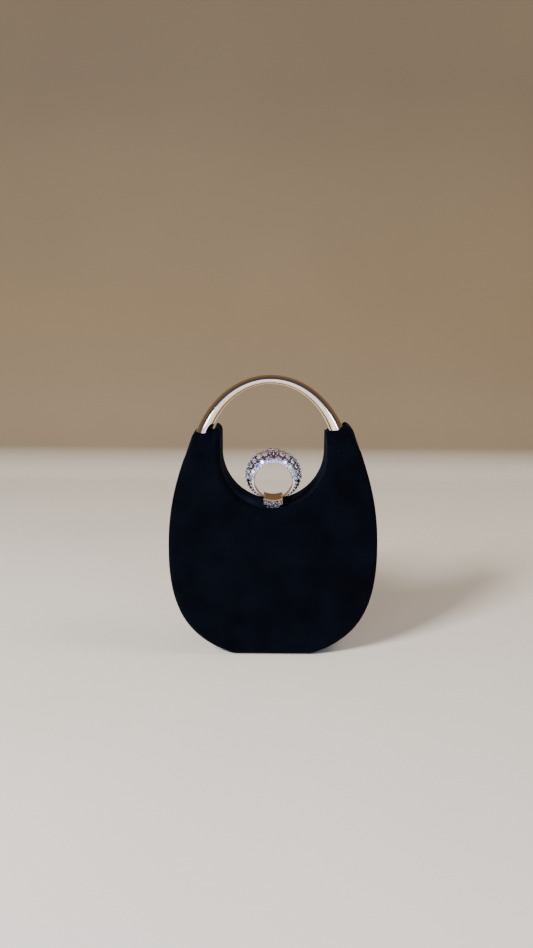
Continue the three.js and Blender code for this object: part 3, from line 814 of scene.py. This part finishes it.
def build_stones():
    """All the stones, which shrink as the crown does down the ring's sides; gives their claws."""
    claws, number = [], 0
    for lift, angles, radius in ROWS:
        for angle in (s * a for a in angles for s in (-1, 1)):
            claws += set_stone(number, angle, lift, radius * min(1.0, 0.62 + 0.5 * crown_share(angle)))
            number += 1
    for lift in TAPER_LIFTS:
        for angle in (s * (TAPER_FIRST + TAPER_STEP * k) for k in range(TAPER_COUNT) for s in (-1, 1)):
            claws += set_stone(number, angle, lift, 0.35 + 0.95 * crown_share(angle))
            number += 1
    return claws


def bead(centre, normal, radius):
    turn = normal.to_track_quat("Z", "Y").to_matrix().to_4x4()
    profile = [(r * radius, h * radius * BEAD_STRETCH) for r, h in BEAD_PROFILE]
    return placed(turned(profile, 10), Matrix.Translation(centre) @ turn)


def build_claws(claws):
    """One mesh of the claws, without those that would crowd another, and the loose beads."""
    kept = []
    for p, n, r in claws:
        if all((p - q).length > CLAW_APART for q, _, _ in kept):
            kept.append((p, n, r))
    for lift, angle, radius in BEADS:
        kept += [(*crown_point(s * angle, lift), radius) for s in ((-1, 1) if angle else (1,))]
    parts = merge(*[bead(p + n * CLAW_LIFT, n, r) for p, n, r in kept])
    make("claws", *parts, CLAW_METAL, "jewel_metal", "clasp", 60)


def hollow_slab(bottom, sink, y, cut=0.0):
    """A slab under the ring, its top hollowed and sunk below the plate's own, its lower corners cut off."""
    top = SADDLE_Z[1] + SADDLE_COVER - sink
    xs = np.linspace(-SADDLE_HALF, SADDLE_HALF, 25)
    section = [(x, top + SADDLE_HOLLOW_R - math.sqrt(SADDLE_HOLLOW_R**2 - x * x)) for x in xs]
    if cut:
        section += [(SADDLE_HALF, bottom + cut), (SADDLE_HALF - cut, bottom)]
        section += [(cut - SADDLE_HALF, bottom), (-SADDLE_HALF, bottom + cut)]
    else:
        section += [(SADDLE_HALF, bottom), (-SADDLE_HALF, bottom)]
    return loft([[(x, yy, z) for x, z in section] for yy in np.linspace(*y, 7)])


# Bevels, how far the plate's front is behind the lip's, and how far the lip's top is below the plate's
SADDLE_BEVEL, LIP_BEVEL, CATCH_BEVEL = 0.2, 0.3, 0.25
SADDLE_BACK, LIP_SINK = 0.2, 0.55


def build_saddle():
    """The plate under the ring, the lip in front of it and the arms that reach back to the clasp's pin."""
    bottom, front, back = SADDLE_Z[0], *SADDLE_Y
    slab = hollow_slab(bottom, 0, (front + SADDLE_BACK, back))
    bevel(make("saddle_plate", *slab, SADDLE_GOLD, "jewel_metal", "clasp"), SADDLE_BEVEL)
    slab = hollow_slab(LIP_Z, LIP_SINK, (front, front + LIP_THICK), LIP_CUT)
    bevel(make("clasp_lip", *slab, LIP_SILVER, "jewel_metal", "clasp"), LIP_BEVEL)
    arms = []
    for s in (-1, 1):
        x = sorted((s * ARM_INNER, s * (EAR_INNER - GAP)))
        arms.append(rod_x(KNUCKLE_R, x, PIVOT_Y, PIVOT_Z, 40, 0.2))
        arms.append(box_parts(x, (back - 1, PIVOT_Y), (bottom, PIVOT_Z + KNUCKLE_R - 0.1)))
    make("clasp_arms", *merge(*arms), BAND_GOLD, "jewel_metal", "clasp")


def bevel(obj, width):
    modifier = obj.modifiers.new("bevel", "BEVEL")
    modifier.width = width * MM
    modifier.segments = 3
    modifier.limit_method = "ANGLE"
    modifier.angle_limit = math.radians(40)
    apply_modifiers(obj)
    finish_mesh(obj, 40)


def build_catch():
    """A block on the front shell, its underside bent to the mouth's curve."""
    r = MOUTH_R - GAP
    xs = np.linspace(-CATCH_HALF, CATCH_HALF, 17)
    section = [(x, MOUTH_Z - math.sqrt(r * r - x * x)) for x in xs]
    section += [(CATCH_HALF, CATCH_TOP), (-CATCH_HALF, CATCH_TOP)]
    block = loft([[(x, y, z) for x, z in section] for y in CATCH_Y])
    catch = make("catch_block", *block, CATCH_METAL, "champagne_metal", "front_shell")
    bevel(catch, CATCH_BEVEL)
    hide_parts("catch_plate")


build_shells()
build_bow()
build_ring()
build_claws(build_stones())
build_saddle()
build_catch()

# CAD nodes that stay, with a better material; so do all the screws, rivets and handle brackets, in steel
KEPT = {
    "hinge_leaf_front": STEEL, "hinge_leaf_back": STEEL, "hinge_pin": STEEL, "clasp_bracket": FRAME_GOLD,
    "clasp_pin": STEEL, "clasp_spring": STEEL,
}
for name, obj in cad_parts.items():
    material = KEPT.get(name)
    if material is None and ("screw" in name or "rivet" in name or "handle_bracket" in name):
        material = STEEL
    if material is not None:
        obj.data.materials.clear()
        obj.data.materials.append(material)

# ---- stage, lights and camera -------------------------------------------------------------------


def build_stage():
    """A pale floor that sweeps up into a brown backdrop well behind the purse, the backdrop painted darker
    towards its top as shade.
    """
    material, tree, bsdf = shader("floor_paper", (0.76, 0.69, 0.58), 0.75)
    place = node(tree, "ShaderNodeTexCoord")
    axes = node(tree, "ShaderNodeSeparateXYZ")
    tree.links.new(place.outputs["Object"], axes.inputs["Vector"])
    height = spread(tree, axes.outputs["Z"], 0.0, 0.55, 0.0, 1.0)
    # Pale floor, then a brown wall painted ever darker as it rises: painted shade
    tone = ramp(tree, height, [
        (0.0, (0.88, 0.84, 0.78)), (0.06, (0.29, 0.23, 0.16)), (0.4, (0.25, 0.19, 0.12)),
        (1.0, (0.17, 0.135, 0.095))])
    mottle = ramp(tree, noise_of(tree, 5, 2), [(0.3, (0.95, 0.95, 0.95)), (0.7, (1, 1, 1))])
    tree.links.new(layered(tree, "MULTIPLY", tone, mottle), bsdf.inputs["Base Color"])
    # In millimetres: half width, front edge, a break in the floor, the wall's place, sweep radius, height
    wide, near, middle, wall, sweep, high = 2200, -1500, -400, 640, 130, 900
    profile = [(near, 0.0), (middle, 0.0), (wall - sweep, 0.0)]
    for k in range(1, 17):
        a = math.radians(90 * k / 16)
        profile.append((wall - sweep + sweep * math.sin(a), sweep * (1 - math.cos(a))))
    profile.append((wall, high))
    verts = [(x, y, z) for x in (-wide, wide) for y, z in profile]
    count = len(profile)
    faces = [(i, i + 1, count + i + 1, count + i) for i in range(count - 1)]
    floor = make("floor", verts, faces, None, None, None, 60)
    floor.data.materials.append(material)


def area_light(name, place, aim, size, power, colour, mirrored=True):
    """A soft light turned to its aim, in metres and watts, which metal mirrors unless mirrored is off."""
    data = bpy.data.lights.new(name, "AREA")
    data.shape = "RECTANGLE"
    data.size, data.size_y = size
    data.energy = power
    data.color = colour
    light = bpy.data.objects.new(name, data)
    light.visible_glossy = mirrored
    bpy.context.scene.collection.objects.link(light)
    light.location = place
    light.rotation_euler = (Vector(aim) - Vector(place)).to_track_quat("-Z", "Y").to_euler()


def build_world():
    """A warm brown room that is dark in front, where the metal mirrors it, and lighter behind."""
    world = bpy.data.worlds.new("studio")
    bpy.context.scene.world = world
    world.use_nodes = True
    tree = world.node_tree
    background = tree.nodes["Background"]
    place = node(tree, "ShaderNodeTexCoord")
    axes = node(tree, "ShaderNodeSeparateXYZ")
    tree.links.new(place.outputs["Generated"], axes.inputs["Vector"])
    tone = ramp(tree, spread(tree, axes.outputs["Y"], -1.0, 0.2, 0.0, 1.0), [
        (0.0, (0.1, 0.085, 0.08)), (0.5, (0.2, 0.15, 0.12)), (1.0, (0.36, 0.25, 0.16))])
    tree.links.new(tone, background.inputs["Color"])
    background.inputs["Strength"].default_value = 0.6


# Metres and degrees; the last two turn the view off the target to put the purse where the photo has it
CAMERA_TARGET = Vector((0, 0, 0.090))
CAMERA_DISTANCE, CAMERA_ELEVATION, CAMERA_YAW, CAMERA_ROLL = 0.5263, 17.0, -0.4, 0.46
FOCAL_LENGTH, SENSOR = 28.1, 36.0
AIM_DOWN, AIM_LEFT = 4.06, 0.53


def build_camera():
    """The purse sits a little below the middle of a tall frame, seen from slightly above."""
    yaw, rise = math.radians(CAMERA_YAW), math.radians(CAMERA_ELEVATION)
    back = Vector((math.sin(yaw) * math.cos(rise), -math.cos(yaw) * math.cos(rise), math.sin(rise)))
    data = bpy.data.cameras.new("camera")
    data.lens, data.sensor_width = FOCAL_LENGTH, SENSOR
    camera = bpy.data.objects.new("camera", data)
    bpy.context.scene.collection.objects.link(camera)
    camera.location = CAMERA_TARGET + back * CAMERA_DISTANCE
    look = (-back).to_track_quat("-Z", "Y").to_matrix()
    tilt = Matrix.Rotation(math.radians(AIM_DOWN), 3, "X")
    pan = Matrix.Rotation(math.radians(AIM_LEFT), 3, "Y")
    roll = Matrix.Rotation(math.radians(CAMERA_ROLL), 3, "Z")
    camera.rotation_euler = (look @ tilt @ pan @ roll).to_euler()
    bpy.context.scene.camera = camera


build_stage()
area_light("key", (-0.75, -0.75, 0.85), (0.05, 0, 0.05), (0.3, 0.3), 27, (1.0, 0.96, 0.9), mirrored=False)
# A cool, weak panel that the handle shows as a bright band, and two small lights that the stones catch
area_light("front_panel", (0.0, -0.55, 0.14), (0, 0, 0.14), (0.9, 0.27), 1.5, (0.38, 0.48, 1.0))
for spark in (-1, 1):
    place = (0.2 * spark, -0.54, 0.2)
    area_light(f"spark_{spark + 1}", place, (0, 0, 0.13), (0.07, 0.05), 0.3, (0.85, 0.93, 1.0))
area_light("wall_wash", (0.7, -0.1, 0.9), (0.45, 0.6, 0.2), (0.5, 0.5), 5.5, (1.0, 0.9, 0.74), mirrored=False)
build_world()
build_camera()
